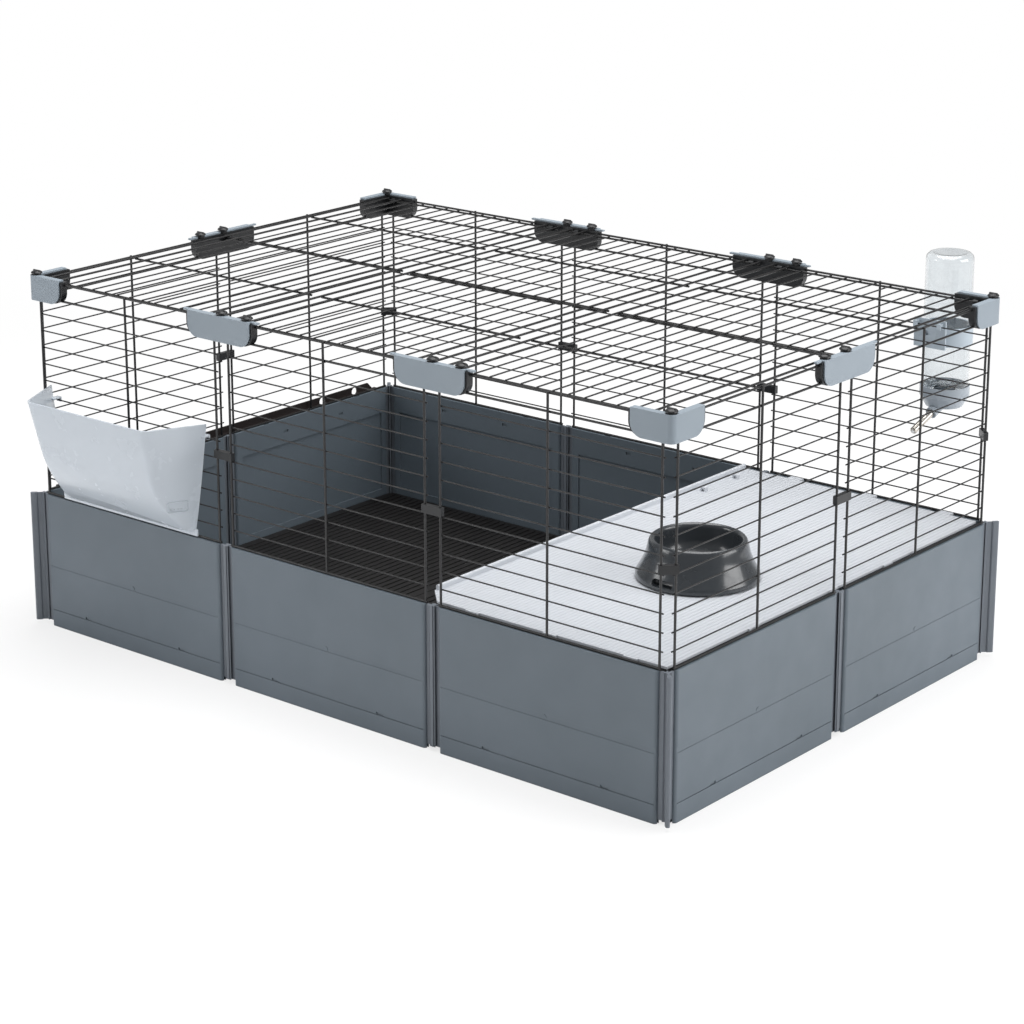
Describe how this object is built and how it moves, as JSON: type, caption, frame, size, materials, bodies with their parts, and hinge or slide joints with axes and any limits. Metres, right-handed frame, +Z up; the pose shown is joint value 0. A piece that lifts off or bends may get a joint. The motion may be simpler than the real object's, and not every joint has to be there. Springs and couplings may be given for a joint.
{
  "type": "rabbit cage",
  "caption": "Modular rabbit cage: plastic base panels, wire walls and hinged wire roof, with hay feeder, resting platform, bowl and drinking bottle.",
  "frame": {"origin": "on the floor below the middle of the cage, at the bottom centre of its bounding box", "axes": "+X along the length towards the platform end, +Y from the feeder side to the bottle side, +Z up"},
  "size_m": [1.0924, 0.868, 0.536],
  "materials": {
    "base_plastic": "satin",
    "connector_plastic": "satin",
    "floor_plastic": "satin",
    "wire": "satin",
    "cover_plastic": "satin",
    "clip_plastic": "satin",
    "rail_plastic": "satin",
    "platform_plastic": "satin",
    "bowl_plastic": "gloss",
    "feeder_plastic": "gloss",
    "clear_plastic": "clear",
    "bottle_cap_plastic": "gloss",
    "spout_metal": "polished",
    "ball_metal": "polished",
    "bracket_plastic": "gloss"
  },
  "bodies": {
    "cage": {"base_back_left": "base_plastic", "base_back_mid": "base_plastic", "base_back_right": "base_plastic", "base_front_left": "base_plastic", "base_front_mid": "base_plastic", "base_front_right": "base_plastic", "base_left_back": "base_plastic", "base_left_front": "base_plastic", "base_right_back": "base_plastic", "base_right_front": "base_plastic", "bottle_bracket": "bracket_plastic", "bottle_cap": "bottle_cap_plastic", "cap_back_left": "cover_plastic", "cap_back_right": "cover_plastic", "cap_corner_back_left": "cover_plastic", "cap_corner_back_right": "cover_plastic", "cap_corner_front_left": "cover_plastic", "cap_corner_front_right": "cover_plastic", "cap_front_left": "cover_plastic", "cap_front_right": "cover_plastic", "cap_left_mid": "cover_plastic", "cap_right_mid": "cover_plastic", "corner_connectors": "connector_plastic", "floor_back_left": "floor_plastic", "floor_back_mid": "floor_plastic", "floor_back_right": "floor_plastic", "floor_front_left": "floor_plastic", "floor_front_mid": "floor_plastic", "floor_front_right": "floor_plastic", "left_rail": "rail_plastic", "mid_connectors": "connector_plastic", "roof_clips_corner": "clip_plastic", "roof_clips_mid": "clip_plastic", "spout": "spout_metal", "wire_clips": "clip_plastic", "wires_back_left": "wire", "wires_back_mid": "wire", "wires_back_right": "wire", "wires_front_left": "wire", "wires_front_mid": "wire", "wires_front_right": "wire", "wires_left_back": "wire", "wires_left_front": "wire", "wires_right_back": "wire", "wires_right_front": "wire"},
    "roof_left": {"roof_left": "wire"},
    "roof_mid": {"roof_mid": "wire"},
    "roof_right": {"roof_right": "wire"},
    "platform": {"platform": "platform_plastic"},
    "bowl": {"bowl": "bowl_plastic"},
    "feeder": {"hay_feeder": "feeder_plastic"},
    "bottle": {"bottle": "clear_plastic"},
    "ball": {"spout_ball": "ball_metal"}
  },
  "joints": [
    {"name": "roof_left_hinge", "type": "hinge", "parent": "cage", "child": "roof_left", "pos_m": [-0.355, 0.344, 0.4886], "axis": [-1, 0, 0], "range_deg": [0, 90]},
    {"name": "roof_mid_hinge", "type": "hinge", "parent": "cage", "child": "roof_mid", "pos_m": [0, 0.344, 0.4886], "axis": [-1, 0, 0], "range_deg": [0, 90]},
    {"name": "roof_right_hinge", "type": "hinge", "parent": "cage", "child": "roof_right", "pos_m": [0.355, 0.344, 0.4886], "axis": [-1, 0, 0], "range_deg": [0, 90]},
    {"name": "feeder_swing", "type": "hinge", "parent": "cage", "child": "feeder", "pos_m": [-0.356, -0.35285, 0.3279], "axis": [-1, 0, 0], "range_deg": [0, 20]},
    {"name": "platform_lift", "type": "slide", "parent": "cage", "child": "platform", "axis": [0, 0, 1], "range_m": [0, 0.08]},
    {"name": "bowl_lift", "type": "slide", "parent": "platform", "child": "bowl", "axis": [0, 0, 1], "range_m": [0, 0.12]},
    {"name": "bottle_lift", "type": "slide", "parent": "cage", "child": "bottle", "axis": [0, 0, 1], "range_m": [0, 0.1]},
    {"name": "ball_travel", "type": "slide", "parent": "cage", "child": "ball", "axis": [0.05, 0.9258, 0.3747], "range_m": [0, 0.002]}
  ]
}
